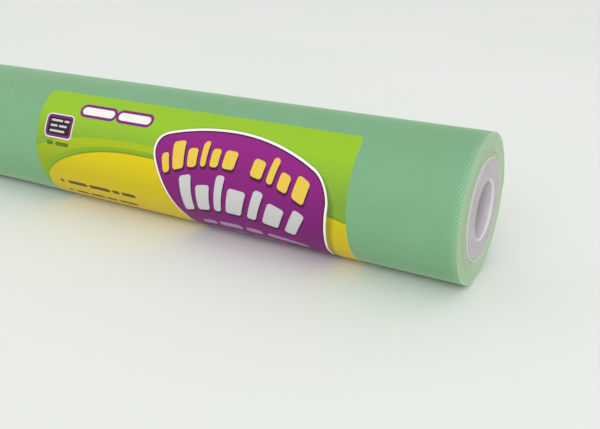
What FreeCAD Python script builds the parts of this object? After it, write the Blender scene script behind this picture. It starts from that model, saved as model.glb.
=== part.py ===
import FreeCAD, Part
import Sketcher
import math
import os

# A wide roll of non-woven backdrop sheet on a white tube, with a moulded plug in each end of
# the tube, a wrap-round label near the right-hand end and a free edge held by tape tabs.
#
# Millimetres and degrees. X runs along the roll, with +X towards the labelled end. The origin
# is the middle of the axis, +Z is up as the roll lies, and -Y is the side that shows the label.
# Angles turn about +X, from +Y (the back of the roll) towards +Z (its top).

SIZES = {
    "sheet_width": 1219.2,       # 48 in, the cut width
    "roll_radius": 30.0,         # over the outermost wrap
    "sheet_gauge": 0.4,          # one wrap: the sheet and the air wound in with it
    "core_radius": 20.7,         # outside of the tube and inside of the winding
    "core_wall": 1.3,
    "core_rim_round": 0.35,
    "core_stand_out": 0.6,       # how far the tube stands past each cut edge of the sheet
    "plug_length": 30.0,
    "plug_clearance": 0.05,      # all round, between plug and tube
    "plug_wall": 1.6,            # skirt and hub
    "plug_web": 2.4,             # the face that closes the end of the tube
    "plug_stand_out": 0.8,       # how far its face stands past the cut edges
    "plug_edge_round": 0.5,
    "plug_bore_round": 0.8,      # the lead-in for the crossbar
    "plug_rib_count": 6,
    "plug_rib_width": 1.4,
    "plug_rib_setback": 4.0,     # the ribs stop this short of the inner end
    "bore_radius": 11.35,        # takes a 22 mm crossbar
    "tail_edge": 0.0,            # angle of the sheet's cut end
    "tail_span": 55.0,           # from the cut end to where the loose part leaves the roll
    "tail_gap": 0.3,             # clearance under the loose part
    "tail_gap_margin": 4.0,      # the clearance runs on by this angle at both ends
    "label_width": 165.0,        # 6.5 in along the roll
    "label_inset": 43.5,         # from the right-hand cut edge to the label
    "label_gauge": 0.12,
    "label_top": 118.8,          # angle of its top edge, 28.8 degrees forward of the top
    "label_span": 206.3,         # 108 mm (4.25 in) round the roll
    "tape_gauge": 0.12,
    "core_tape_width": 25.0,
    "core_tape_start": 60.0,
    "core_tape_span": 70.0,
    "core_tape_pitch": 540.0,
    "tab_width": 19.0,
    "tab_start": -20.0,
    "tab_span": 40.0,
    "tab_pitch": 560.0,
    "strip_count": 3,            # of core tape strips, and of tape tabs
}

POINT_TOLERANCE = 1e-4           # for finding an edge by its place or length
FULL_TURN = 360.0


def add_sizes(doc):
    """The spreadsheet that drives every sub-part."""
    sheet = doc.addObject("Spreadsheet::Sheet", "Sizes")
    for row, (alias, value) in enumerate(SIZES.items(), start=1):
        sheet.set(f"A{row}", alias)
        sheet.set(f"B{row}", str(value))
        sheet.setAlias(f"B{row}", alias)
    doc.recompute()


def on_sheet(words):
    """'core_radius - core_wall' as an expression over the spreadsheet's cells."""
    return " ".join(f"Sizes.{word}" if word in SIZES else word for word in words.split())


def value_of(owner, words):
    """The number that such an expression gives now."""
    return float(owner.evalExpression(on_sheet(words)))


def bind(owner, path, words):
    """Drives one property or constraint of owner from the spreadsheet."""
    owner.setExpression(path, on_sheet(words))


def new_body(doc, label):
    body = doc.addObject("PartDesign::Body", label)
    body.Label = label
    return body


def origin_feature(body, role):
    return next(item for item in body.Origin.OriginFeatures if item.Role == role)


def new_sketch(body, name, plane, offset="0"):
    """A sketch on one of the body's own origin planes, moved along that plane's normal."""
    sketch = body.newObject("Sketcher::SketchObject", name)
    sketch.AttachmentSupport = [(origin_feature(body, plane), "")]
    sketch.MapMode = "FlatFace"
    bind(sketch, "AttachmentOffset.Base.z", offset)
    return sketch


def constrain(sketch, name, words, *parts):
    """A named dimension that the spreadsheet drives."""
    value = value_of(sketch, words)
    kind = parts[0]
    if kind == "Angle":
        value = math.radians(value)
    sketch.addConstraint(Sketcher.Constraint(*parts, value))
    sketch.renameConstraint(len(sketch.Constraints) - 1, name)
    bind(sketch, f"Constraints.{name}", words)


def add_circle(sketch, name, radius):
    """A circle round the roll's axis."""
    circle = Part.Circle(FreeCAD.Vector(), FreeCAD.Vector(0, 0, 1), value_of(sketch, radius))
    index = sketch.addGeometry(circle)
    sketch.addConstraint(Sketcher.Constraint("Coincident", index, 3, -1, 1))
    constrain(sketch, name, radius, "Radius", index)


def ring_sketch(body, name, inner, outer, offset):
    """A full ring round the axis, in the plane across the roll."""
    sketch = new_sketch(body, name, "YZ_Plane", offset)
    add_circle(sketch, "inner_radius", inner)
    add_circle(sketch, "outer_radius", outer)
    return sketch


def sector_sketch(body, name, inner, outer, start, span, offset):
    """Part of a ring round the axis, from the angle start over the angle span."""
    sketch = new_sketch(body, name, "YZ_Plane", offset)
    first = math.radians(value_of(sketch, start))
    last = first + math.radians(value_of(sketch, span))
    corners = {}
    arcs = {}
    for side, radius_words in (("inner", inner), ("outer", outer)):
        radius = value_of(sketch, radius_words)
        circle = Part.Circle(FreeCAD.Vector(), FreeCAD.Vector(0, 0, 1), radius)
        arcs[side] = sketch.addGeometry(Part.ArcOfCircle(circle, first, last))
        for end, angle in (("first", first), ("last", last)):
            corners[side, end] = FreeCAD.Vector(radius * math.cos(angle), radius * math.sin(angle), 0)
    for arc in arcs.values():
        sketch.addConstraint(Sketcher.Constraint("Coincident", arc, 3, -1, 1))
    edges = {}
    for end, arc_end in (("first", 1), ("last", 2)):
        edge = sketch.addGeometry(Part.LineSegment(corners["inner", end], corners["outer", end]))
        sketch.addConstraint(Sketcher.Constraint("Coincident", edge, 1, arcs["inner"], arc_end))
        sketch.addConstraint(Sketcher.Constraint("Coincident", edge, 2, arcs["outer"], arc_end))
        sketch.addConstraint(Sketcher.Constraint("PointOnObject", -1, 1, edge))
        edges[end] = edge
    constrain(sketch, "inner_radius", inner, "Radius", arcs["inner"])
    constrain(sketch, "outer_radius", outer, "Radius", arcs["outer"])
    constrain(sketch, "start_angle", start, "Angle", edges["first"])
    constrain(sketch, "end_angle", f"{start} + {span}", "Angle", edges["last"])
    return sketch


def pad(body, name, sketch, length):
    """Material from the sketch towards +X."""
    feature = body.newObject("PartDesign::Pad", name)
    feature.Profile = sketch
    bind(feature, "Length", length)
    return feature


def pocket(body, name, sketch, length):
    """A cut from the sketch towards +X, which has to take material away."""
    body.Document.recompute()
    before = body.Shape.Volume
    feature = body.newObject("PartDesign::Pocket", name)
    feature.Profile = sketch
    feature.Reversed = True
    bind(feature, "Length", length)
    body.Document.recompute()
    if body.Shape.Volume >= before - POINT_TOLERANCE:
        raise RuntimeError(f"{body.Label}: {name} cuts nothing")
    return feature


def round_edges(body, name, base, radius, wanted):
    """Rounds those edges of the base feature for which wanted(edge) is true."""
    body.Document.recompute()
    names = [f"Edge{i}" for i, edge in enumerate(base.Shape.Edges, start=1) if wanted(edge)]
    feature = body.newObject("PartDesign::Fillet", name)
    feature.Base = (base, names)
    bind(feature, "Radius", radius)
    return feature


def repeat_along_roll(body, name, original, pitch, count):
    """Evenly spaced copies towards +X, the first of them the original."""
    body.AllowCompound = True
    feature = body.newObject("PartDesign::LinearPattern", name)
    feature.Originals = [original]
    feature.Direction = (origin_feature(body, "X_Axis"), [""])
    bind(feature, "Length", f"{pitch} * ( {count} - 1 )")
    bind(feature, "Occurrences", count)
    body.Tip = feature
    return feature


def is_circle(edge, radius):
    round_edge = edge.Curve.TypeId == "Part::GeomCircle"
    return round_edge and math.isclose(edge.Curve.Radius, radius, abs_tol=POINT_TOLERANCE)


def core_tube(doc):
    """The tube that the sheet is wound on, with its four rim edges eased."""
    body = new_body(doc, "core_tube")
    section = ring_sketch(
        body, "core_section", "core_radius - core_wall", "core_radius",
        "-0.5 * sheet_width - core_stand_out")
    tube = pad(body, "core_length", section, "sheet_width + 2 * core_stand_out")
    round_edges(
        body, "core_rims", tube, "core_rim_round",
        lambda edge: edge.Curve.TypeId == "Part::GeomCircle")
    return body


def plug_section(body):
    """Half of the plug's section: the web at X = 0, with the skirt and hub behind it."""
    sketch = new_sketch(body, "plug_section", "XY_Plane")
    outer = "core_radius - core_wall - plug_clearance"
    radii = {
        "bore": "bore_radius",
        "hub": "bore_radius + plug_wall",
        "skirt": f"{outer} - plug_wall",
        "outer": outer,
    }
    depths = {"face": "0", "web": "plug_web", "end": "plug_length"}
    outline = [
        ("face", "bore"), ("face", "outer"), ("end", "outer"), ("end", "skirt"),
        ("web", "skirt"), ("web", "hub"), ("end", "hub"), ("end", "bore"),
    ]
    lines = []
    for (depth, radius), (next_depth, next_radius) in zip(outline, outline[1:] + outline[:1]):
        here = FreeCAD.Vector(-value_of(sketch, depths[depth]), value_of(sketch, radii[radius]), 0)
        there = FreeCAD.Vector(
            -value_of(sketch, depths[next_depth]), value_of(sketch, radii[next_radius]), 0)
        lines.append(sketch.addGeometry(Part.LineSegment(here, there)))
        direction = "Horizontal" if radius == next_radius else "Vertical"
        sketch.addConstraint(Sketcher.Constraint(direction, lines[-1]))
    for line, next_line in zip(lines, lines[1:] + lines[:1]):
        sketch.addConstraint(Sketcher.Constraint("Coincident", line, 2, next_line, 1))
    sketch.addConstraint(Sketcher.Constraint("PointOnObject", lines[0], 1, -2))
    sketch.addConstraint(Sketcher.Constraint("Vertical", lines[3], 1, lines[6], 1))
    for corner, name in ((0, "bore"), (1, "outer"), (3, "skirt"), (5, "hub")):
        constrain(sketch, f"{name}_radius", radii[name], "DistanceY", -1, 1, lines[corner], 1)
    for corner, name in ((2, "end"), (4, "web")):
        constrain(sketch, f"{name}_depth", depths[name], "DistanceX", lines[corner], 1, -1, 1)
    return sketch


def rib_sketch(body):
    """One rib across the roll, from the middle of the hub's wall to the middle of the skirt's."""
    sketch = new_sketch(body, "rib_section", "YZ_Plane", "plug_rib_setback - plug_length")
    inner = "bore_radius + 0.5 * plug_wall"
    outer = "core_radius - core_wall - plug_clearance - 0.5 * plug_wall"
    low = value_of(sketch, inner)
    high = value_of(sketch, outer)
    half = value_of(sketch, "0.5 * plug_rib_width")
    corners = [
        FreeCAD.Vector(low, -half, 0), FreeCAD.Vector(high, -half, 0),
        FreeCAD.Vector(high, half, 0), FreeCAD.Vector(low, half, 0),
    ]
    lines = [
        sketch.addGeometry(Part.LineSegment(here, there))
        for here, there in zip(corners, corners[1:] + corners[:1])
    ]
    for line, next_line in zip(lines, lines[1:] + lines[:1]):
        sketch.addConstraint(Sketcher.Constraint("Coincident", line, 2, next_line, 1))
    for line, direction in zip(lines, ("Horizontal", "Vertical", "Horizontal")):
        sketch.addConstraint(Sketcher.Constraint(direction, line))
    sketch.addConstraint(Sketcher.Constraint("Symmetric", lines[0], 1, lines[2], 2, -1))
    constrain(sketch, "inner_radius", inner, "DistanceX", -1, 1, lines[0], 1)
    constrain(sketch, "outer_radius", outer, "DistanceX", -1, 1, lines[0], 2)
    constrain(sketch, "rib_width", "plug_rib_width", "DistanceY", lines[1], 1, lines[1], 2)
    return sketch


def end_plug(doc, label, side):
    """A ribbed plug, its face just past the tube's end. side is 1 at +X and -1 at -X."""
    body = new_body(doc, label)
    axis = (origin_feature(body, "X_Axis"), [""])
    shell = body.newObject("PartDesign::Revolution", "plug_shell")
    shell.Profile = plug_section(body)
    shell.ReferenceAxis = axis
    shell.Angle = FULL_TURN
    rib = pad(body, "rib", rib_sketch(body), "plug_length - plug_rib_setback - 0.5 * plug_web")
    ribs = body.newObject("PartDesign::PolarPattern", "ribs")
    ribs.Originals = [rib]
    ribs.Axis = axis
    ribs.Angle = FULL_TURN
    bind(ribs, "Occurrences", "plug_rib_count")
    body.Tip = ribs
    rounds = (
        ("outer_edge", "core_radius - core_wall - plug_clearance", "plug_edge_round"),
        ("bore_edge", "bore_radius", "plug_bore_round"),
    )
    for name, circle, size in rounds:
        radius = value_of(body, circle)
        round_edges(
            body, name, body.Tip, size,
            lambda edge, radius=radius: abs(edge.CenterOfMass.x) < POINT_TOLERANCE
            and is_circle(edge, radius))
    body.Placement.Rotation = FreeCAD.Rotation(FreeCAD.Vector(0, 0, 1), 0 if side > 0 else 180)
    bind(body, "Placement.Base.x", f"{side} * ( 0.5 * sheet_width + plug_stand_out )")
    return body


def backdrop_sheet(doc):
    """The wound sheet up to its last wrap, with room under the loose end and for the core tape."""
    body = new_body(doc, "backdrop_sheet")
    left_edge = "-0.5 * sheet_width"
    winding = ring_sketch(
        body, "winding_section", "core_radius", "roll_radius - sheet_gauge", left_edge)
    pad(body, "winding", winding, "sheet_width")
    gap = sector_sketch(
        body, "tail_gap_section", "roll_radius - sheet_gauge - tail_gap", "roll_radius",
        "tail_edge - tail_gap_margin", "tail_span + 2 * tail_gap_margin", left_edge)
    pocket(body, "tail_gap", gap, "sheet_width")
    tape_room = sector_sketch(
        body, "tape_room_section", "core_radius - core_wall", "core_radius + tape_gauge",
        "core_tape_start", "core_tape_span", left_edge)
    pocket(body, "tape_room", tape_room, "sheet_width")
    return body


def sheet_tail(doc):
    """The loose end of the outermost wrap, its cut edge at the back of the roll."""
    body = new_body(doc, "sheet_tail")
    section = sector_sketch(
        body, "tail_section", "roll_radius - sheet_gauge", "roll_radius",
        "tail_edge", "tail_span", "-0.5 * sheet_width")
    pad(body, "tail", section, "sheet_width")
    return body


def product_label(doc):
    """The sticker, wrapped round the front and underside of the roll."""
    body = new_body(doc, "product_label")
    surface = "roll_radius - sheet_gauge"
    section = sector_sketch(
        body, "label_section", surface, f"{surface} + label_gauge",
        "label_top", "label_span", "0.5 * sheet_width - label_inset - label_width")
    pad(body, "sticker", section, "label_width")
    return body


def tape_strips(doc, label, radius, start, span, width, pitch):
    """A row of equal tape strips on a round surface, spread evenly along the roll."""
    body = new_body(doc, label)
    section = sector_sketch(
        body, f"{label}_section", radius, f"{radius} + tape_gauge", start, span,
        f"-0.5 * {pitch} * ( strip_count - 1 ) - 0.5 * {width}")
    strip = pad(body, "strip", section, width)
    repeat_along_roll(body, "strips", strip, pitch, "strip_count")
    return body


def check_document(doc, bodies):
    """Stops before anything is written if any object of the model isn't sound."""
    for item in doc.Objects:
        if "Invalid" in item.State or "Error" in item.State:
            raise RuntimeError(f"{item.Label} is {item.State}")
    for body in bodies:
        if body.Shape.isNull() or not body.Shape.isValid():
            raise RuntimeError(f"{body.Label} has no sound shape")


def main():
    doc = FreeCAD.newDocument("backdrop_roll")
    add_sizes(doc)
    bodies = [
        core_tube(doc),
        end_plug(doc, "end_plug_right", 1),
        end_plug(doc, "end_plug_left", -1),
        backdrop_sheet(doc),
        sheet_tail(doc),
        product_label(doc),
        tape_strips(
            doc, "core_tape", "core_radius", "core_tape_start", "core_tape_span",
            "core_tape_width", "core_tape_pitch"),
        tape_strips(
            doc, "tail_tape", "roll_radius", "tab_start", "tab_span", "tab_width", "tab_pitch"),
    ]
    doc.recompute()
    check_document(doc, bodies)
    os.makedirs("parts", exist_ok=True)
    for body in bodies:
        body.Shape.exportStep(f"parts/{body.Label}.step")
        box = body.Shape.BoundBox
        print(
            f"{body.Label}: {len(body.Shape.Solids)} solid(s), {body.Shape.Volume / 1000:.2f} cm3, "
            f"X {box.XMin:.2f}..{box.XMax:.2f} Y {box.YMin:.2f}..{box.YMax:.2f} "
            f"Z {box.ZMin:.2f}..{box.ZMax:.2f}")


main()
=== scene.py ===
import math

import bpy
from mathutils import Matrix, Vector
from mathutils.geometry import delaunay_2d_cdt


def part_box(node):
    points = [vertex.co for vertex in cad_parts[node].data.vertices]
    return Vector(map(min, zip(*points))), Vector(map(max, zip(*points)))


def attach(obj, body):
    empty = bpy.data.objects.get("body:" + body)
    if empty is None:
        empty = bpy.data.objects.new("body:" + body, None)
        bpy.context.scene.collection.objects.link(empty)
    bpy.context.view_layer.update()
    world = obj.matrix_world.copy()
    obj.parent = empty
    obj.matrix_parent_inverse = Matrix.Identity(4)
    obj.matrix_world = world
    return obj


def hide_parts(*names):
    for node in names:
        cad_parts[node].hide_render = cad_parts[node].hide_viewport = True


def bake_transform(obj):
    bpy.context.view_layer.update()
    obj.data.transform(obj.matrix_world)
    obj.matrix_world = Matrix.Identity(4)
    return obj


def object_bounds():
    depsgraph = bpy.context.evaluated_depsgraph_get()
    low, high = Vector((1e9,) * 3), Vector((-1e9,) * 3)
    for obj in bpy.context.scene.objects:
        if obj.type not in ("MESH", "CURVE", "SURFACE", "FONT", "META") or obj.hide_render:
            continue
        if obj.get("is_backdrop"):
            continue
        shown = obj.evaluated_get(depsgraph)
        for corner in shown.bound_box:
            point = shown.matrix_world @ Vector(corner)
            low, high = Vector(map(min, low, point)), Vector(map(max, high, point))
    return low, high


# A roll of green non-woven backdrop sheet on a white tube, lying on a pale floor.
# Metres, in the CAD frame: X along the roll, +Z up, -Y the side that shows the label.
# Angles turn about +X, from +Y (the back) towards +Z (the top). The sheet is wound inwards
# from its loose edge at angle 0, so an angle of two turns is two wraps below the surface.

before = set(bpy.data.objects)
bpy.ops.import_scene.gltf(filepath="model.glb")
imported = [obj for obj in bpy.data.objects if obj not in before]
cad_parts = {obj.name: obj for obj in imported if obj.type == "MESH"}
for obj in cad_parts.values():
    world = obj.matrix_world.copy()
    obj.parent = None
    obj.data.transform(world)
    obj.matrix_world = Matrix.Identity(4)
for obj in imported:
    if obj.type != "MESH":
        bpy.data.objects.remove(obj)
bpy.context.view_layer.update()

MM = 0.001
TURN = 2 * math.pi

_, sheet_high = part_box("backdrop_sheet")
_, tube_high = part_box("core_tube")
_, plug_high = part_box("end_plug_right")
_, tail_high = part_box("sheet_tail")
label_low, label_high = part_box("product_label")
tape_low, tape_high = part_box("tail_tape")

# ---------------------------------------------------------------- sizes

HALF_WIDTH = sheet_high.x                     # from the middle of the sheet to a cut edge
ROLL_R = tail_high.y                          # over the outermost wrap
CORE_R = tube_high.z
CORE_HALF = tube_high.x
BORE_OF_TUBE = plug_high.z + 0.02 * MM        # the plug presses into it
CORE_RIM_ROUND = 0.22 * MM
CORE_PLIES = 3
PLY_GROOVE = 0.07 * MM                        # between two plies, in the tube's rim
CORE_TAPE = 0.13 * MM                         # what the first wrap lies on
FIRST_CLIMB = 0.03                            # share of a turn in which it climbs its own end
CLIMB_SPREAD = 0.1                            # how much longer each later wrap takes
TELESCOPE = 0.34 * MM                         # how far to +X the winding shifts from outside to core

SHEET_LENGTH = 3.6576                         # 12 ft
SHEET_THICK = 0.34 * MM
TAIL_ANGLE = math.radians(55)                 # how much of the last wrap is loose
TAIL_STANDS = 0.55 * MM                       # how far its free edge stands off the roll
TAIL_SWELLS = 0.25 * MM                       # how much that changes along the roll
TAIL_FREE = 60 * MM                           # from a tape tab to where it stands off fully
OUTER_R = ROLL_R - SHEET_THICK / 2            # middle of the sheet at its loose edge
INNER_R = CORE_R + CORE_TAPE + SHEET_THICK / 2
TURNS = SHEET_LENGTH / (math.pi * (OUTER_R + INNER_R))
PITCH = (OUTER_R - INNER_R) / TURNS           # one wrap: the sheet and the air under it

LABEL_TOP = math.radians(118.8)
LABEL_SPAN = math.radians(206.3)
LABEL_THICK = 0.11 * MM
LABEL_GAP = 0.01 * MM
LABEL_W = (label_high.x - label_low.x) / MM   # the printed area, in its own millimetres
LABEL_H = LABEL_SPAN * ROLL_R / MM
LABEL_CORNER = 2.2

TAB_REACH = math.radians(20)                  # each side of the loose edge
TAB_WIDTH = 19 * MM
TAB_THICK = 0.06 * MM
TAB_COUNT = 3
TAB_TOOTH = math.radians(0.9)                 # depth of the zigzag that a dispenser cuts
TAB_STEP = math.radians(2.6)                  # over which a tab climbs onto the loose edge
TAB_GAP = 0.01 * MM

WOUND_ROWS_PER_TURN = 96                      # how finely the meshes are divided
WOUND_COLUMNS = 9
LOOSE_ROWS, LOOSE_COLUMNS = 40, 129
RIM_STEPS, TUBE_STEPS = 36, 160
TAB_ROWS, TAB_COLUMNS = 48, 39
LABEL_COLUMNS, LABEL_ROWS = 30, 104

# ---------------------------------------------------------------- the winding

# The winding's small unevenness: the size, rate and phase of a few waves round the roll.
RIPPLES = [(0.008 * MM, 0.83, 0.4), (0.006 * MM, 1.37, 2.1), (0.004 * MM, 2.21, 5.0)]
DRIFTS = [(0.02 * MM, 0.05, 1.0), (0.008 * MM, 0.21, 3.3), (0.008 * MM, 0.77, 0.2)]


def waves(terms, angle):
    return sum(size * math.sin(rate * angle + phase) for size, rate, phase in terms)


def smooth(share):
    share = min(1.0, max(0.0, share))
    return share * share * (3 - 2 * share)


def winding_radius(angle):
    """Radius of the middle of the sheet at this angle wound in from its loose edge. The first
    wraps lie round the tube and climb over the sheet's inner end, and the last are a spiral."""
    wraps = max(0.0, TURNS - angle / TURN)
    whole = math.floor(wraps)
    spread = min(1.0, FIRST_CLIMB + CLIMB_SPREAD * whole)
    climb = max(0.0, 1 - (1 - (wraps - whole)) / spread)
    settled = min(1.0, angle / TURN)
    return INNER_R + PITCH * (whole + climb) + settled * waves(RIPPLES, angle)


def side_drift(angle):
    """How far along the roll this part of the sheet lies from its even place."""
    return TELESCOPE * (angle / (TURNS * TURN) - 0.5) + waves(DRIFTS, angle)


def sheet_run(angle):
    """Length of sheet from its loose edge to this angle."""
    return angle * (OUTER_R - PITCH * angle / (2 * TURN))


def tab_centres():
    first = tape_low.x + TAB_WIDTH / 2
    last = tape_high.x - TAB_WIDTH / 2
    return [first + (last - first) * i / (TAB_COUNT - 1) for i in range(TAB_COUNT)]


def tail_lift(angle, x):
    """How far the loose edge stands off the roll, which it does only away from the tape tabs."""
    reach = max(0.0, 1 - angle / TAIL_ANGLE)
    gap = min(abs(x - centre) for centre in tab_centres()) - TAB_WIDTH / 2
    free = smooth(gap / TAIL_FREE)
    return (TAIL_STANDS + TAIL_SWELLS * math.sin(x / (41 * MM))) * free * reach ** 3


def on_roll(x, radius, angle):
    return (x, radius * math.cos(angle), radius * math.sin(angle))


# ---------------------------------------------------------------- meshes


def new_piece(name, points, faces, materials, slots=None, flat=None, sharp=35.0):
    """A mesh object. flat gives each point's place on the unrolled piece, in metres."""
    mesh = bpy.data.meshes.new(name)
    mesh.from_pydata(points, [], faces)
    for material in materials:
        mesh.materials.append(material)
    if slots:
        mesh.polygons.foreach_set("material_index", slots)
    if flat:
        layer = mesh.uv_layers.new(name="flat")
        for loop in mesh.loops:
            layer.data[loop.index].uv = flat[loop.vertex_index]
    mesh.polygons.foreach_set("use_smooth", [True] * len(faces))
    mesh.set_sharp_from_angle(angle=math.radians(sharp))
    mesh.update()
    piece = bpy.data.objects.new(name, mesh)
    bpy.context.scene.collection.objects.link(piece)
    return piece


def plate(name, outer, inner, flat, materials):
    """A closed thin plate between two grids of points, whose rows go round the roll and whose
    columns go along it. The first material is its faces' and the last its two long rims'."""
    rows, columns = len(outer), len(outer[0])
    points = [p for grid in (outer, inner) for row in grid for p in row]
    rim = len(materials) - 1

    def at(side, row, column):
        return (side * rows + row) * columns + column

    faces, slots = [], []
    for r in range(rows - 1):
        for c in range(columns - 1):
            faces.append((at(0, r, c), at(0, r + 1, c), at(0, r + 1, c + 1), at(0, r, c + 1)))
            faces.append((at(1, r, c), at(1, r, c + 1), at(1, r + 1, c + 1), at(1, r + 1, c)))
            slots += [0, 0]
        last = columns - 1
        faces.append((at(0, r + 1, 0), at(0, r, 0), at(1, r, 0), at(1, r + 1, 0)))
        faces.append((at(0, r, last), at(0, r + 1, last), at(1, r + 1, last), at(1, r, last)))
        slots += [rim, rim]
    last = rows - 1
    for c in range(columns - 1):
        faces.append((at(0, 0, c), at(0, 0, c + 1), at(1, 0, c + 1), at(1, 0, c)))
        faces.append((at(0, last, c + 1), at(0, last, c), at(1, last, c), at(1, last, c + 1)))
        slots += [0, 0]
    places = [p for row in flat for p in row]
    return new_piece(name, points, faces, materials, slots, places + places)


def revolved(name, outline, steps, materials):
    """A closed ring: an outline of (x, radius) points, in order, turned about X."""
    points, flat, faces = [], [], []
    run = 0.0
    for i, (x, radius) in enumerate(outline):
        run += math.dist(outline[i], outline[i - 1]) if i else 0.0
        for k in range(steps):
            points.append(on_roll(x, radius, TURN * k / steps))
            flat.append((run, radius * TURN * k / steps))
    for i in range(len(outline)):
        a, b = i * steps, (i + 1) % len(outline) * steps
        for k in range(steps):
            n = (k + 1) % steps
            faces.append((a + k, a + n, b + n, b + k))
    return new_piece(name, points, faces, materials, None, flat)


# ---------------------------------------------------------------- materials


def srgb(red, green, blue):
    """A colour from 0 to 255 as it shows on a screen, as linear light."""
    def linear(level):
        level /= 255
        return level / 12.92 if level <= 0.04045 else ((level + 0.055) / 1.055) ** 2.4
    return (linear(red), linear(green), linear(blue), 1.0)


class Surface:
    """One material and its nodes. Numbers and colours go straight onto the shader's sockets."""

    def __init__(self, name, colour, **sockets):
        self.material = bpy.data.materials.new(name)
        self.material.use_nodes = True
        self.material.diffuse_color = colour
        self.nodes = self.material.node_tree.nodes
        self.shader = self.nodes["Principled BSDF"]
        self.shader.inputs["Base Color"].default_value = colour
        for socket, value in sockets.items():
            self.shader.inputs[socket.replace("_", " ")].default_value = value

    def set(self, socket, value):
        """Gives a socket a number, a colour or another node's output."""
        if isinstance(value, bpy.types.NodeSocket):
            self.material.node_tree.links.new(value, socket)
        else:
            socket.default_value = value

    def node(self, kind, inputs=(), **settings):
        made = self.nodes.new("ShaderNode" + kind)
        for name, value in settings.items():
            setattr(made, name, value)
        for key, value in dict(inputs).items():
            self.set(made.inputs[key], value)
        return made

    def maths(self, operation, *values):
        made = self.node("Math", operation=operation)
        for i, value in enumerate(values):
            self.set(made.inputs[i], value)
        return made.outputs[0]

    def total(self, *values):
        result = values[0]
        for value in values[1:]:
            result = self.maths("ADD", result, value)
        return result

    def scaled(self, value, by, plus=0.0):
        return self.maths("MULTIPLY_ADD", value, by, plus)

    def step(self, value, low, high):
        """0 below low, 1 above high and smooth between."""
        made = self.node("MapRange", interpolation_type="SMOOTHSTEP")
        for key, number in (("Value", value), ("From Min", low), ("From Max", high)):
            self.set(made.inputs[key], number)
        return made.outputs[0]

    def mixed(self, share, first, second):
        made = self.node("Mix", data_type="RGBA")
        self.set(made.inputs[0], share)
        self.set(made.inputs[6], first)
        self.set(made.inputs[7], second)
        return made.outputs[2]

    def lit(self, colour, level):
        """The colour, brighter where level is over 1."""
        made = self.node("Mix", data_type="RGBA", blend_type="MULTIPLY")
        grey = self.node("CombineColor")
        for i in range(3):
            self.set(grey.inputs[i], level)
        self.set(made.inputs[0], 1.0)
        self.set(made.inputs[6], colour)
        self.set(made.inputs[7], grey.outputs[0])
        return made.outputs[2]

    def in_millimetres(self, place):
        made = self.node("VectorMath", operation="SCALE")
        self.set(made.inputs[0], place)
        self.set(made.inputs["Scale"], 1 / MM)
        return made.outputs[0]

    def flat_place(self):
        """The place on the unrolled piece, in millimetres."""
        return self.in_millimetres(self.node("UVMap", uv_map="flat").outputs[0])

    def solid_place(self):
        """The place on the object, in millimetres."""
        return self.in_millimetres(self.node("TexCoord").outputs["Object"])

    def parts(self, vector):
        made = self.node("SeparateXYZ")
        self.set(made.inputs[0], vector)
        return made.outputs[0], made.outputs[1], made.outputs[2]

    def stretched(self, vector, turn=0.0, scale=(1, 1, 1)):
        made = self.node("Mapping", vector_type="POINT")
        self.set(made.inputs["Vector"], vector)
        made.inputs["Rotation"].default_value = (0, 0, turn)
        made.inputs["Scale"].default_value = scale
        return made.outputs[0]

    def noise(self, vector, scale, detail=2.0, roughness=0.5):
        made = self.node("TexNoise")
        for key, value in (("Vector", vector), ("Scale", scale), ("Detail", detail),
                           ("Roughness", roughness)):
            self.set(made.inputs[key], value)
        return made.outputs[0]

    def colour(self, value):
        self.set(self.shader.inputs["Base Color"], value)

    def roughness(self, value):
        self.set(self.shader.inputs["Roughness"], value)

    def bump(self, height):
        """height is in millimetres."""
        made = self.node("Bump")
        made.inputs["Strength"].default_value = 1.0
        made.inputs["Distance"].default_value = MM
        self.set(made.inputs["Height"], height)
        self.set(self.shader.inputs["Normal"], made.outputs[0])


LATTICE = 1.70                                # mm, two rows of bond points


def bond_points(look, place):
    """The staggered points where the non-woven sheet was pressed and bonded: 1 in a point."""
    x, run, _ = look.parts(place)
    wave = look.maths("MULTIPLY",
                      look.maths("COSINE", look.scaled(x, TURN / LATTICE)),
                      look.maths("COSINE", look.scaled(run, TURN / LATTICE)))
    return look.step(wave, 0.1, 0.8)


def fibres(look, place):
    """Fine fibres that lie in every direction."""
    one = look.noise(look.stretched(place, 0.6, (0.35, 2.6, 1)), 1.0, 3.0, 0.6)
    other = look.noise(look.stretched(place, -0.9, (0.35, 2.6, 1)), 1.0, 3.0, 0.6)
    return look.maths("MULTIPLY", look.total(one, other), 0.5)


def sheet_face_look():
    look = Surface("nonwoven_green", srgb(118, 165, 128), Specular_IOR_Level=0.35,
                   Sheen_Weight=0.6, Sheen_Roughness=0.3)
    look.shader.inputs["Sheen Tint"].default_value = srgb(200, 232, 190)
    place = look.flat_place()
    points = bond_points(look, place)
    fibre = fibres(look, place)
    patches = look.noise(place, 0.05, 3.0, 0.6)
    clouds = look.noise(place, 0.012, 2.0, 0.5)
    body = look.mixed(look.step(patches, 0.35, 0.68), srgb(119, 167, 123), srgb(121, 169, 131))
    x, _, _ = look.parts(place)
    # Painted highlight: the face is painted paler over the last 3.5 mm before each cut edge, where
    # the wound edges catch light.
    cut = look.step(look.maths("ABSOLUTE", x), HALF_WIDTH / MM - 3.5, HALF_WIDTH / MM)
    body = look.mixed(look.scaled(cut, 0.6), body, srgb(146, 188, 150))
    level = look.total(look.scaled(fibre, 0.24, 0.89), look.scaled(clouds, 0.08, -0.04))
    body = look.lit(body, level)
    look.colour(look.mixed(look.maths("MULTIPLY", points, 0.62), body, srgb(94, 143, 105)))
    look.roughness(look.total(look.scaled(points, -0.12, 0.52), look.scaled(patches, 0.10)))
    look.bump(look.total(look.scaled(points, -0.03), look.scaled(fibre, 0.05),
                         look.scaled(look.noise(place, 0.09, 1.0), 0.10)))
    return look.material


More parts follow.
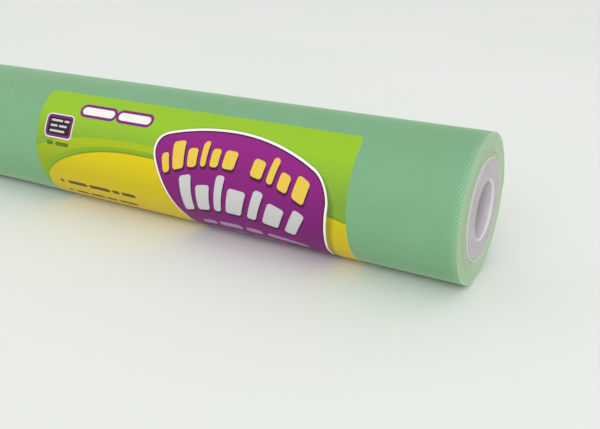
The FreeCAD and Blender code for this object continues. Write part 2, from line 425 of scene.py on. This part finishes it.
def sheet_rim_look():
    """The cut edge: paler than the face, tanner towards the core, with loose fibre ends. The
    outermost wrap's edge is painted paler and greener, a painted highlight.
    """
    look = Surface("nonwoven_cut_edge", srgb(186, 208, 176), Specular_IOR_Level=0.2)
    place = look.flat_place()
    _, run, _ = look.parts(place)
    wound = look.noise(look.stretched(place, 0.0, (1, 0.035, 1)), 1.0, 4.0, 0.7)
    grain = look.noise(look.stretched(place, 0.0, (1, 0.8, 1)), 1.0, 3.0, 0.7)
    inner = look.step(run, 1500.0, 3500.0)
    body = look.mixed(inner, srgb(180, 209, 175), srgb(190, 206, 178))
    body = look.mixed(look.step(wound, 0.50, 0.72), body, srgb(195, 196, 173))
    # Painted highlight: the cut edge of the outermost wrap, the first 150 to 190 mm of sheet from
    # the loose edge, is painted paler and greener.
    body = look.mixed(look.step(run, 190.0, 150.0), body, srgb(204, 231, 197))
    look.colour(look.lit(body, look.scaled(grain, 0.3, 0.86)))
    look.roughness(look.scaled(grain, 0.2, 0.6))
    look.bump(look.scaled(grain, 0.08))
    return look.material


def board_look():
    look = Surface("tube_board", srgb(206, 203, 201), Specular_IOR_Level=0.3)
    place = look.solid_place()
    fibre = look.noise(look.stretched(place, 0.0, (0.5, 1.6, 1.6)), 1.0, 4.0, 0.65)
    patches = look.noise(place, 0.06, 2.0)
    body = look.mixed(look.step(fibre, 0.35, 0.7), srgb(202, 199, 197), srgb(211, 208, 207))
    look.colour(look.lit(body, look.scaled(patches, 0.08, 0.96)))
    look.roughness(look.scaled(fibre, 0.2, 0.6))
    look.bump(look.scaled(fibre, 0.03))
    return look.material


def plug_look():
    """Moulded plastic: a satin skin with faint flow marks and a face that has sunk a little
    as it cooled. The bore's wall near its mouth is painted paler, a painted highlight."""
    look = Surface("plug_plastic", srgb(185, 178, 184), Specular_IOR_Level=0.45,
                   Subsurface_Weight=0.05, Subsurface_Scale=0.002)
    place = look.solid_place()
    x, y, z = look.parts(place)
    radius = look.maths("SQRT", look.total(look.maths("MULTIPLY", y, y),
                                           look.maths("MULTIPLY", z, z)))
    skin = look.noise(place, 1.6, 3.0, 0.6)
    flow = look.noise(look.stretched(place, 0.0, (0.3, 0.12, 0.12)), 1.0, 3.0)
    rings = look.noise(look.node("CombineXYZ", {0: radius}).outputs[0], 1.1, 2.0)
    body = look.mixed(look.step(flow, 0.35, 0.7), srgb(181, 174, 180), srgb(189, 182, 188))
    depth = look.scaled(look.maths("ABSOLUTE", x), -1.0, plug_high.x / MM)
    # Painted highlight: the bore's wall within 6.5 mm of the face is painted paler, where light
    # falls into the mouth.
    bore_mouth_highlight = look.maths("MULTIPLY", look.step(radius, 12.3, 11.9), look.step(depth, 6.5, 0.5))
    body = look.mixed(bore_mouth_highlight, body, srgb(227, 221, 227))
    look.colour(look.lit(body, look.scaled(rings, 0.06, 0.97)))
    look.roughness(look.total(look.scaled(skin, 0.12, 0.28), look.scaled(flow, 0.12)))
    dish = look.scaled(look.maths("MULTIPLY", radius, radius), 0.0035)
    look.bump(look.total(look.scaled(skin, 0.008), look.scaled(rings, 0.02), dish))
    return look.material


def label_ink_look(name, colour):
    """Printed gloss film. The bond points of the sheet under it show faintly through."""
    look = Surface(name, colour, Specular_IOR_Level=0.2, Coat_Weight=0.03, Coat_Roughness=0.15)
    place = look.flat_place()
    points = bond_points(look, place)
    skin = look.noise(place, 0.8, 3.0, 0.6)
    sag = look.noise(look.stretched(place, 0.0, (0.05, 0.16, 1)), 1.0, 2.0)
    look.roughness(look.total(look.scaled(skin, 0.14, 0.38), look.scaled(points, 0.03)))
    look.bump(look.total(look.scaled(points, -0.004), look.scaled(skin, 0.004),
                         look.scaled(sag, 0.06)))
    return look.material


def clear_tape_look():
    look = Surface("clear_tape", srgb(226, 234, 222), Specular_IOR_Level=0.5, Alpha=0.15)
    place = look.flat_place()
    skin = look.noise(look.stretched(place, 0.0, (1.4, 0.2, 1)), 1.0, 3.0)
    look.roughness(look.scaled(skin, 0.16, 0.08))
    look.bump(look.scaled(skin, 0.02))
    return look.material


def core_tape_look():
    look = Surface("double_sided_tape", srgb(218, 208, 176), Specular_IOR_Level=0.5)
    place = look.solid_place()
    skin = look.noise(look.stretched(place, 0.0, (0.2, 1.4, 1.4)), 1.0, 3.0)
    look.colour(look.mixed(skin, srgb(208, 197, 162), srgb(228, 220, 192)))
    look.roughness(look.scaled(skin, 0.2, 0.2))
    look.bump(look.scaled(skin, 0.02))
    return look.material


def floor_look():
    look = Surface("studio_floor", srgb(236, 238, 234), Specular_IOR_Level=0.2)
    place = look.solid_place()
    tone = look.noise(place, 0.004, 2.0)
    grain = look.noise(place, 0.6, 3.0)
    look.colour(look.mixed(tone, srgb(233, 236, 231), srgb(240, 241, 238)))
    look.roughness(look.scaled(grain, 0.15, 0.6))
    return look.material


# ---------------------------------------------------------------- the sheet


def sheet_rows(angles, columns, lift):
    """Outer face, inner face and flat places of the sheet over these angles."""
    outer, inner, flat = [], [], []
    for angle in angles:
        run = sheet_run(angle)
        rows = ([], [], [])
        for i in range(columns):
            x = -HALF_WIDTH + 2 * HALF_WIDTH * i / (columns - 1)
            middle = winding_radius(angle) + lift(angle, x)
            side = x + side_drift(angle)
            rows[0].append(on_roll(side, middle + SHEET_THICK / 2, angle))
            rows[1].append(on_roll(side, middle - SHEET_THICK / 2, angle))
            rows[2].append((x, run))
        outer.append(rows[0])
        inner.append(rows[1])
        flat.append(rows[2])
    return outer, inner, flat


def make_sheet(face, rim):
    last = TURNS * TURN
    count = round((last - TAIL_ANGLE) / TURN * WOUND_ROWS_PER_TURN)
    angles = [TAIL_ANGLE + (last - TAIL_ANGLE) * i / count for i in range(count + 1)]
    rows = sheet_rows(angles, WOUND_COLUMNS, lambda angle, x: 0.0)
    wound = plate("wound_sheet", *rows, [face, rim])
    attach(wound, "roll")
    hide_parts("backdrop_sheet")

    angles = [TAIL_ANGLE * i / LOOSE_ROWS for i in range(LOOSE_ROWS + 1)]
    loose = plate("loose_end", *sheet_rows(angles, LOOSE_COLUMNS, tail_lift), [face, rim])
    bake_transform(loose)
    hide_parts("sheet_tail")


# ---------------------------------------------------------------- tube, tape


def make_tube(look):
    """The white board tube. Its rim shows its plies and is eased on both sides."""
    wall = CORE_R - BORE_OF_TUBE
    rim = []
    for i in range(RIM_STEPS + 1):
        share = i / RIM_STEPS
        edge = min(share, 1 - share) * wall
        eased = max(0.0, 1 - edge / CORE_RIM_ROUND)
        ply = math.sin(math.pi * CORE_PLIES * share) ** 2
        groove = PLY_GROOVE * (1 - ply) ** 12 if 0.1 < share < 0.9 else 0.0
        back = CORE_RIM_ROUND * (1 - math.sqrt(1 - eased * eased)) + groove
        rim.append((CORE_HALF - back, CORE_R - wall * share))
    outline = rim + [(-x, r) for x, r in reversed(rim)]
    tube = revolved("core_board_tube", outline, TUBE_STEPS, [look])
    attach(tube, "roll")
    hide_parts("core_tube")


def tab_base(angle):
    """Radius of the surface that a tape tab sticks to, each side of the loose edge."""
    on_top = winding_radius(max(0.0, angle))
    below = winding_radius(TURN + min(0.0, angle))
    step = smooth(1 + angle / TAB_STEP)
    return below + (on_top - below) * step + SHEET_THICK / 2 + TAB_GAP


def make_tabs(look):
    for number, centre in enumerate(tab_centres(), start=1):
        outer, inner, flat = [], [], []
        for r in range(TAB_ROWS + 1):
            share = r / TAB_ROWS
            line = ([], [], [])
            for c in range(TAB_COLUMNS):
                angle = -TAB_REACH + 2 * TAB_REACH * share
                if r in (0, TAB_ROWS):
                    angle -= (TAB_TOOTH if c % 2 else 0.0) * (1 if r else -1)
                x = centre - TAB_WIDTH / 2 + TAB_WIDTH * c / (TAB_COLUMNS - 1)
                low = tab_base(angle)
                line[0].append(on_roll(x, low + TAB_THICK, angle))
                line[1].append(on_roll(x, low, angle))
                line[2].append((x, ROLL_R * angle))
            outer.append(line[0])
            inner.append(line[1])
            flat.append(line[2])
        tab = plate(f"tape_tab_{number}", outer, inner, flat, [look])
        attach(tab, "tail")
        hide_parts("tail_tape")


# ---------------------------------------------------------------- the label
# Its print is laid out in millimetres: p along the roll from the label's left edge, q round
# the roll from its top edge. Each ink is a region of the mesh, so the print stays sharp.

def fade(first, last, count):
    """Evenly spaced colours from one to another, both given on the screen's scale."""
    steps = [i / (count - 1) for i in range(count)]
    return [srgb(*(a + (b - a) * step for a, b in zip(first, last))) for step in steps]


INKS = {
    "leaf": srgb(130, 166, 34),
    "rind": srgb(122, 144, 12),
    "white": srgb(238, 234, 230),
    "plum": srgb(76, 8, 66),
    "gold": srgb(225, 191, 72),
    "pearl": srgb(197, 196, 198),
    "lilac": srgb(176, 140, 174),
    "charcoal": srgb(42, 24, 34),
    "violet": srgb(126, 30, 116),
    "moss": srgb(88, 116, 16),
    "brown": srgb(98, 70, 46),
}
# Each grade darkens down the label. Partly this is a fade in the print and partly painted shade
# where the label turns away from the light. The yellow's last steps turn paler and bluer, a painted
# reflection.
GRADES = {                                    # ink: first and last level down the label, colours
    "lime": (10.0, 30.0, fade((146, 189, 38), (120, 158, 52), 8)),
    "olive": (22.0, 36.0, fade((162, 180, 18), (145, 164, 14), 5)),
    "yellow": (26.0, 62.0, fade((214, 192, 0), (199, 181, 12), 5)[:-1]
               + fade((199, 181, 12), (220, 189, 50), 8)),
    "purple": (9.0, 46.0, fade((141, 28, 125), (119, 18, 108), 8)),
}
for ink, (_, _, colours) in GRADES.items():
    INKS.update({f"{ink}_{i}": colour for i, colour in enumerate(colours)})
SHADE = 0.83                                  # what each step of a printed shadow leaves
BADGE_CREST = 110.0                           # p of the badge's highest point
BADGE_CENTRE = 114.0                          # p that it narrows towards


def rounded(p0, q0, p1, q1, radius):
    """A rounded rectangle as points."""
    radius = min(radius, (p1 - p0) / 2, (q1 - q0) / 2)
    steps = max(3, round(radius * 1.6))
    corners = [(p1 - radius, q0 + radius, -90), (p1 - radius, q1 - radius, 0),
               (p0 + radius, q1 - radius, 90), (p0 + radius, q0 + radius, 180)]
    points = []
    for p, q, start in corners:
        for i in range(steps + 1):
            turn = math.radians(start + 90 * i / steps)
            points.append((p + radius * math.cos(turn), q + radius * math.sin(turn)))
    return points


def finer(points, reach=3.0):
    """The same outline with a point at least every few millimetres."""
    result = []
    for (p0, q0), (p1, q1) in zip(points, points[1:] + points[:1]):
        count = max(1, math.ceil(math.dist((p0, q0), (p1, q1)) / reach))
        result += [(p0 + (p1 - p0) * i / count, q0 + (q1 - q0) * i / count)
                   for i in range(count)]
    return result


def label_outline():
    return rounded(0.0, 0.0, LABEL_W, LABEL_H, LABEL_CORNER)


def hill(top, left_drop, right_drop, left=66.0, right=180.0, crest=62.0):
    """A curve across the label: two quarter ellipses that meet at the crest."""
    def height(p):
        wide, drop = (left, left_drop) if p < crest else (right, right_drop)
        share = min(1.0, abs(p - crest) / wide)
        return top + drop * (1 - math.sqrt(1 - share * share))
    return height


def below(curve):
    """The part of the label below a curve."""
    count = 48
    line = [(LABEL_W * i / count, curve(LABEL_W * i / count)) for i in range(count + 1)]
    return line + [(LABEL_W, LABEL_H), (0.0, LABEL_H)]


def lowered(points, level):
    """The part of an outline below a level."""
    return [(p, max(q, level)) for p, q in points]


def graded(points, ink):
    """An outline filled with an ink that changes in even steps down the label."""
    top, low, colours = GRADES[ink]
    step = (low - top) / len(colours)
    return [(lowered(points, top + step * i) if i else points, f"{ink}_{i}")
            for i in range(len(colours))]


def row_of_bars(p, q, widths, height, gap):
    """Bars in a row, as a stand-in for a line of print."""
    bars = []
    for width in widths:
        bars.append(rounded(p, q, p + width, q + height, height / 2))
        p += width + gap
    return bars


def badge_warp(points):
    """The badge's layout, arched at its top and drawn in below, more so on its left."""
    warped = []
    for p, q in finer(points):
        bend = 0.0050 if p < BADGE_CREST else 0.0062
        arch = bend * (p - BADGE_CREST) ** 2 * (1 - smooth((q - 25) / 55))
        tuck = 0.0078 if p < BADGE_CENTRE else 0.0028
        narrowed = 1 - tuck * max(0.0, min(q + arch, 54) - 15)
        warped.append((BADGE_CENTRE + (p - BADGE_CENTRE) * narrowed, q + arch))
    return warped


def badge_blocks(start, base, sizes, gap, lean, ink):
    """Leaning blocks that stand on one line, as a stand-in for a big word, with shadows."""
    layers = []
    for width, height in sizes:
        for shift, drop, spread, colour in ((0.3, 1.3, 0.5, "plum"), (0.0, 0.0, 0.0, ink)):
            block = rounded(start + shift, base - height + drop, start + width + shift + spread,
                            base + drop, 1.5)
            layers.append((badge_warp([(p + (base - q) * lean, q) for p, q in block]), colour))
        start += width + gap
    return layers


def badge_layers():
    """The purple badge: a shadow, a white edge, a dark line and a shaded field with blocks."""
    left, top, right, foot, corner = 68.8, 7.0, 159.2, 84.0, 9.5
    layers = []
    for grow in (2.1, 1.3, 0.5):
        layers.append((badge_warp(rounded(left - grow + 1.3, top - grow + 1.5,
                                          right + grow + 1.3, foot + grow + 1.5,
                                          corner + grow)), None))
    for inset, ink in ((0.0, "white"), (1.1, "plum")):
        layers.append((badge_warp(rounded(left + inset, top + inset, right - inset,
                                          foot - inset, corner - inset)), ink))
    inset = 1.8
    field = badge_warp(rounded(left + inset, top + inset, right - inset, foot - inset,
                               corner - inset))
    layers += graded(field, "purple")
    layers += badge_blocks(72.5, 23.6, ((4.4, 7.8), (6.6, 11.4), (5.2, 7.8), (3.0, 10.8),
                                        (4.4, 7.8), (6.2, 7.8)), 2.2, 0.20, "gold")
    layers += badge_blocks(121.5, 23.6, ((5.6, 7.8), (3.0, 11.6), (4.8, 7.8), (5.8, 10.6)),
                           2.4, 0.20, "gold")
    layers += badge_blocks(76.0, 44.0, ((7.6, 17.4), (8.6, 12.6), (4.6, 17.4), (9.4, 12.6),
                                        (4.6, 15.6), (8.0, 12.6), (5.2, 16.4)), 3.2, 0.36,
                           "pearl")
    for q, widths in ((51.5, (11, 17, 9, 21)), (60.0, (15, 12, 19))):
        layers += [(badge_warp(bar), "lilac") for bar in row_of_bars(82, q, widths, 3.6, 2.6)]
    return layers


def print_layers():
    """The print from the bottom layer up, as (outline, ink). Ink None is a step of shadow."""
    layers = graded(label_outline(), "lime")
    layers += graded(below(hill(20.1, 15.0, 98.0)), "olive")
    layers.append((below(hill(23.0, 26.0, 80.0, left=64.0)), "leaf"))
    layers.append((below(hill(24.5, 27.5, 61.5, left=62.0)), "rind"))
    layers += graded(below(hill(25.4, 27.5, 61.5, left=62.0)), "yellow")

    for start, end in ((25.0, 45.0), (46.8, 66.0)):
        layers.append((rounded(start - 1.1, 5.6, end + 1.1, 12.4, 3.4), "violet"))
    for start, end in ((25.0, 45.0), (46.8, 66.0)):
        layers.append((rounded(start + 0.4, 7.1, end - 0.4, 11.0, 1.9), "white"))

    layers.append((rounded(5.2, 12.8, 22.6, 24.4, 2.4), "white"))
    layers.append((rounded(5.7, 13.3, 22.1, 23.9, 1.9), "violet"))
    layers.append((rounded(7.0, 14.4, 20.8, 22.8, 1.0), "charcoal"))
    for q, widths in ((15.6, (7.4, 3.2)), (18.1, (4.6, 5.2)), (20.6, (9.6,))):
        layers += [(bar, "pearl") for bar in row_of_bars(8.4, q, widths, 1.0, 0.9)]
    layers += [(bar, "moss") for bar in row_of_bars(7.0, 26.0, (4.4, 8.6), 1.9, 1.2)]

    for q, widths in ((46.6, (12.5, 13.5, 4.5, 8.5)), (54.6, (8.0, 9.5, 6.5, 11.5))):
        layers.append((rounded(9.0, q - 0.1, 11.4, q + 2.3, 1.2), "brown"))
        layers += [(bar, "brown") for bar in row_of_bars(14.0, q, widths, 2.4, 1.2)]
    for q, widths in ((88.0, (14, 9, 18, 12)), (92.0, (11, 16, 8)), (96.0, (17, 10, 13))):
        layers += [(bar, "brown") for bar in row_of_bars(12.0, q, widths, 1.5, 1.4)]
    return layers + badge_layers()


class Outline:
    """A closed outline that can tell which points lie in it."""

    def __init__(self, points, ink):
        self.ink = ink
        self.points = [a for a, b in zip(points, points[1:] + points[:1])
                       if math.dist(a, b) > 0.01]
        self.low = [min(point[i] for point in self.points) for i in (0, 1)]
        self.high = [max(point[i] for point in self.points) for i in (0, 1)]

    def holds(self, p, q):
        if not (self.low[0] < p < self.high[0] and self.low[1] < q < self.high[1]):
            return False
        inside = False
        for (p0, q0), (p1, q1) in zip(self.points, self.points[1:] + self.points[:1]):
            if (q0 > q) != (q1 > q) and p < p0 + (q - q0) * (p1 - p0) / (q1 - q0):
                inside = not inside
        return inside


def label_triangles(border, outlines):
    """The label's flat area cut into triangles along every outline and along a fine grid."""
    points, edges = [], []
    for outline in [border] + outlines:
        first = len(points)
        count = len(outline.points)
        points += [Vector(point) for point in outline.points]
        edges += [(first + i, first + (i + 1) % count) for i in range(count)]
    for i in range(1, LABEL_ROWS):
        q = LABEL_H * i / LABEL_ROWS
        edges.append((len(points), len(points) + 1))
        points += [Vector((0.0, q)), Vector((LABEL_W, q))]
    for i in range(1, LABEL_COLUMNS):
        p = LABEL_W * i / LABEL_COLUMNS
        edges.append((len(points), len(points) + 1))
        points += [Vector((p, 0.0)), Vector((p, LABEL_H))]
    points, _, faces = delaunay_2d_cdt(points, edges, [], 0, 1e-4)[:3]
    return points, faces


def label_place(p, q, height):
    angle = LABEL_TOP + q * MM / ROLL_R
    radius = winding_radius(angle) + SHEET_THICK / 2 + LABEL_GAP + height
    return on_roll(label_low.x + p * MM, radius, angle)


def make_label():
    border = Outline(label_outline(), "lime_0")
    outlines = [Outline(points, ink) for points, ink in print_layers()]
    flat, triangles = label_triangles(border, outlines)
    materials, slot_of = [], {}

    def slot_for(ink, shade):
        if (ink, shade) not in slot_of:
            name = f"label_{ink}" + (f"_shade_{shade}" if shade else "")
            colour = [level * SHADE ** shade for level in INKS[ink][:3]] + [1.0]
            slot_of[ink, shade] = len(materials)
            materials.append(label_ink_look(name, colour))
        return slot_of[ink, shade]

    kept, slots = [], []
    for corners in triangles:
        p = sum(flat[i][0] for i in corners) / 3
        q = sum(flat[i][1] for i in corners) / 3
        if not border.holds(p, q):
            continue
        ink, shade = border.ink, 0
        for outline in outlines:
            if outline.holds(p, q):
                ink, shade = (outline.ink, 0) if outline.ink else (ink, shade + 1)
        a, b, c = (flat[i] for i in corners)
        turn = (b[0] - a[0]) * (c[1] - a[1]) - (b[1] - a[1]) * (c[0] - a[0])
        kept.append(tuple(corners) if turn < 0 else tuple(reversed(corners)))
        slots.append(slot_for(ink, shade))

    used = sorted({i for corners in kept for i in corners})
    place = {old: new for new, old in enumerate(used)}
    count = len(used)
    points = [label_place(flat[i][0], flat[i][1], LABEL_THICK) for i in used]
    points += [label_place(flat[i][0], flat[i][1], 0.0) for i in used]
    places = [(flat[i][0] * MM, flat[i][1] * MM) for i in used]
    top = [tuple(place[i] for i in corners) for corners in kept]
    back = [tuple(i + count for i in reversed(corners)) for corners in top]
    sides = {(a, b) for t in top for a, b in zip(t, t[1:] + t[:1])}
    rim = [(b, a, a + count, b + count) for a, b in sorted(sides) if (b, a) not in sides]
    paper = len(materials)
    materials.append(label_ink_look("label_paper", srgb(232, 230, 222)))
    slots += [paper] * (len(back) + len(rim))
    label = new_piece("label_sticker", points, top + back + rim, materials, slots,
                      places + places, sharp=40.0)
    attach(label, "roll")
    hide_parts("product_label")


# ---------------------------------------------------------------- CAD pieces that show


def dress(node, look):
    """Gives a CAD node its material."""
    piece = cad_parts[node]
    piece.data.materials.clear()
    piece.data.materials.append(look)


# ---------------------------------------------------------------- stage


def make_floor(look):
    """A pale floor under the object's lowest point."""
    low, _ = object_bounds()
    reach, cells = 24.0, 12
    points = [(-reach + 2 * reach * i / cells, -reach + 2 * reach * k / cells, low.z)
              for k in range(cells + 1) for i in range(cells + 1)]
    faces = []
    for k in range(cells):
        for i in range(cells):
            a = k * (cells + 1) + i
            faces.append((a, a + 1, a + cells + 2, a + cells + 1))
    new_piece("floor", points, faces, [look])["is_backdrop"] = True


def area_light(name, place, aim, size, power, colour=(1.0, 1.0, 1.0)):
    light = bpy.data.lights.new(name, "AREA")
    light.shape = "RECTANGLE"
    light.size, light.size_y = size
    light.energy = power
    light.color = colour
    lamp = bpy.data.objects.new(name, light)
    lamp.location = place
    lamp.rotation_euler = (Vector(aim) - Vector(place)).to_track_quat("-Z", "Y").to_euler()
    bpy.context.scene.collection.objects.link(lamp)


def make_light():
    world = bpy.data.worlds.new("soft_studio")
    world.use_nodes = True
    sky = world.node_tree.nodes["Background"]
    sky.inputs["Color"].default_value = (0.98, 1.0, 0.985, 1.0)
    sky.inputs["Strength"].default_value = 0.80
    bpy.context.scene.world = world
    area_light("front_softbox", (1.5, -3.2, 2.3), (0.5, 0.0, 0.0), (3.6, 1.8), 66.0)


def make_camera():
    """A close view of the labelled end, from in front of it and a little above."""
    turn, tilt = math.radians(29.47), math.radians(22.51)
    ahead = Vector((-math.sin(turn) * math.cos(tilt), math.cos(turn) * math.cos(tilt),
                    -math.sin(tilt)))
    data = bpy.data.cameras.new("camera")
    data.sensor_width, data.lens = 36.0, 42.9
    data.clip_start = 0.01
    camera = bpy.data.objects.new("camera", data)
    camera.location = (HALF_WIDTH + 0.0638, -0.2547, 0.1029)
    camera.rotation_mode = "QUATERNION"
    camera.rotation_quaternion = ahead.to_track_quat("-Z", "Y")
    bpy.context.scene.collection.objects.link(camera)
    bpy.context.scene.camera = camera


make_camera()
make_light()
make_tube(board_look())
make_sheet(sheet_face_look(), sheet_rim_look())
make_label()
make_tabs(clear_tape_look())
plug_plastic = plug_look()
dress("end_plug_right", plug_plastic)
dress("end_plug_left", plug_plastic)
dress("core_tape", core_tape_look())
make_floor(floor_look())
bpy.context.scene.view_settings.view_transform = "Standard"
